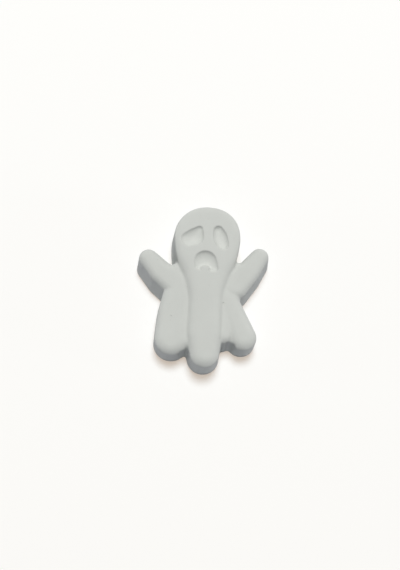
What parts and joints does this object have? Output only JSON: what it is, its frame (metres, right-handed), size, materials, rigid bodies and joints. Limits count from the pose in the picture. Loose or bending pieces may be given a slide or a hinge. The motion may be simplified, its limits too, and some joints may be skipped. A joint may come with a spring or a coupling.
{
  "type": "ceramic ghost figure",
  "caption": "Flat-backed matte ceramic ghost with raised arms, scalloped hem and a sunken sad face, hollow behind, with a back plate, hanging hole and rubber bumpers.",
  "frame": {"origin": "on the surface that the figure lies on, midway between the arm tips and between head and middle foot", "axes": "+Z out of the face, +Y towards the head, +X towards the right arm as the viewer sees it"},
  "size_m": [0.0654, 0.081, 0.0165],
  "materials": {
    "bisque": "unglazed, matte, fine-grained pale grey",
    "bumper_rubber": "soft translucent-looking pale rubber, satin"
  },
  "bodies": {
    "root": {"front_shell": "bisque", "back_plate": "bisque", "bumper_head": "bumper_rubber", "bumper_left_arm": "bumper_rubber", "bumper_right_arm": "bumper_rubber", "bumper_left_leg": "bumper_rubber", "bumper_middle_leg": "bumper_rubber", "bumper_right_leg": "bumper_rubber"}
  },
  "joints": []
}
